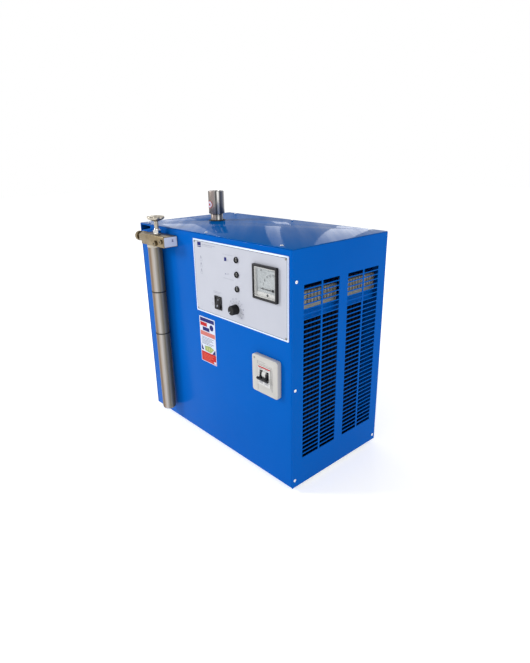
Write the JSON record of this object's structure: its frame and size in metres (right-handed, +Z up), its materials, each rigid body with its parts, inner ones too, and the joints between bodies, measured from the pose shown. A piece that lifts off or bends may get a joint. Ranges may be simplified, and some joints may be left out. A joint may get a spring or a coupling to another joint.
{
  "type": "refrigerated air dryer",
  "caption": "Cabinet refrigerated compressed-air dryer with slotted side panel, control fascia, breaker, top filter and front moisture separator.",
  "frame": {"origin": "on the floor under the centre of the object's bounding box, at the underside of the rubber feet", "axes": "+X to the right seen from the front, +Y from the front panel to the back, +Z up; the control fascia faces -Y"},
  "size_m": [0.5682, 0.3736, 0.616],
  "materials": {
    "blue_paint": "gloss powder coat, bright blue",
    "white_plate": "satin white",
    "black_plastic": "semi-gloss black moulding",
    "grey_plastic": "light grey moulding",
    "dial_white": "white printed dial plate",
    "clear": "clear window",
    "stainless": "polished stainless tube",
    "nickel_brass": "dull nickel-plated brass",
    "chrome_steel": "polished stainless",
    "brass": "turned brass",
    "copper": "drawn copper tube",
    "galvanised": "galvanised sheet",
    "dark_steel": "black enamel",
    "black_rubber": "matt black rubber",
    "fan_plastic": "black moulding",
    "foam": "closed-cell insulation foam",
    "filter_fibre": "wound filter fibre"
  },
  "bodies": {
    "cabinet": {"front_panel": "blue_paint", "back_panel": "blue_paint", "left_panel": "blue_paint", "right_panel": "blue_paint", "top_cover": "blue_paint", "terminal_bracket": "blue_paint", "control_plate": "white_plate", "breaker_cover": "white_plate", "meter_case": "black_plastic", "lamp_1": "black_plastic", "lamp_2": "black_plastic", "lamp_3": "black_plastic", "rocker_bezel": "black_plastic", "cable_gland": "black_plastic", "timer_module": "grey_plastic", "breaker_body": "grey_plastic", "terminal_row_front": "grey_plastic", "terminal_row_rear": "grey_plastic", "meter_dial": "dial_white", "meter_window": "clear", "filter_housing": "stainless", "separator_tube": "stainless", "separator_head": "nickel_brass", "side_valve_body": "nickel_brass", "bleed_bonnet": "chrome_steel", "head_plug_1": "brass", "head_plug_2": "brass", "air_inlet_port": "brass", "air_outlet_port": "brass", "filter_drier": "copper", "discharge_pipe": "copper", "liquid_pipe": "copper", "expansion_pipe": "copper", "suction_pipe": "copper", "air_inlet_pipe": "copper", "wet_air_pipe": "copper", "filter_feed_pipe": "copper", "dry_air_pipe": "copper", "base_pan": "galvanised", "compressor": "dark_steel", "condenser": "dark_steel", "fan_shroud": "dark_steel", "fan_motor": "dark_steel", "foot_front_left": "black_rubber", "foot_front_right": "black_rubber", "foot_back_left": "black_rubber", "foot_back_right": "black_rubber", "cap_grommet": "black_rubber", "tube_strap_1": "black_rubber", "tube_strap_2": "black_rubber", "heat_exchanger": "foam"},
    "needle": {"meter_needle": "black_plastic"},
    "rocker": {"rocker": "black_plastic"},
    "timer_knob": {"timer_knob": "black_plastic"},
    "breaker_toggle": {"breaker_toggle": "black_plastic"},
    "filter_cap": {"filter_cap": "chrome_steel", "filter_cartridge": "filter_fibre"},
    "bleed_handwheel": {"bleed_handwheel": "stainless"},
    "side_valve_knob": {"side_valve_knob": "nickel_brass"},
    "fan_rotor": {"fan_rotor": "fan_plastic"}
  },
  "joints": [
    {"name": "needle_pivot", "type": "hinge", "parent": "cabinet", "child": "needle", "pos_m": [0.231, -0.1451, 0.4508], "axis": [0, 1, 0], "range_deg": [0, 90], "stiffness_Nm_per_rad": 0.0002},
    {"name": "rocker_pivot", "type": "hinge", "parent": "cabinet", "child": "rocker", "pos_m": [0.048, -0.1431, 0.3888], "axis": [1, 0, 0], "range_deg": [0, 22]},
    {"name": "timer_knob_turn", "type": "hinge", "parent": "cabinet", "child": "timer_knob", "pos_m": [0.112, -0.1501, 0.3876], "axis": [0, 1, 0], "range_deg": [0, 270]},
    {"name": "breaker_toggle_pivot", "type": "hinge", "parent": "cabinet", "child": "breaker_toggle", "pos_m": [0.21, -0.1476, 0.266], "axis": [-1, 0, 0], "range_deg": [0, 76]},
    {"name": "filter_cap_lift", "type": "slide", "parent": "cabinet", "child": "filter_cap", "axis": [0, 0, 1], "range_m": [0, 0.2]},
    {"name": "bleed_wheel_turn", "type": "hinge", "parent": "cabinet", "child": "bleed_handwheel", "pos_m": [-0.166, -0.162, 0.5638], "axis": [0, 0, 1], "range_deg": [0, 720]},
    {"name": "side_valve_turn", "type": "hinge", "parent": "cabinet", "child": "side_valve_knob", "pos_m": [-0.253, -0.162, 0.511], "axis": [-1, 0, 0], "range_deg": [0, 720]},
    {"name": "fan_spin", "type": "hinge", "parent": "cabinet", "child": "fan_rotor", "pos_m": [0.177, 0.034, 0.215], "axis": [1, 0, 0], "continuous": true}
  ]
}
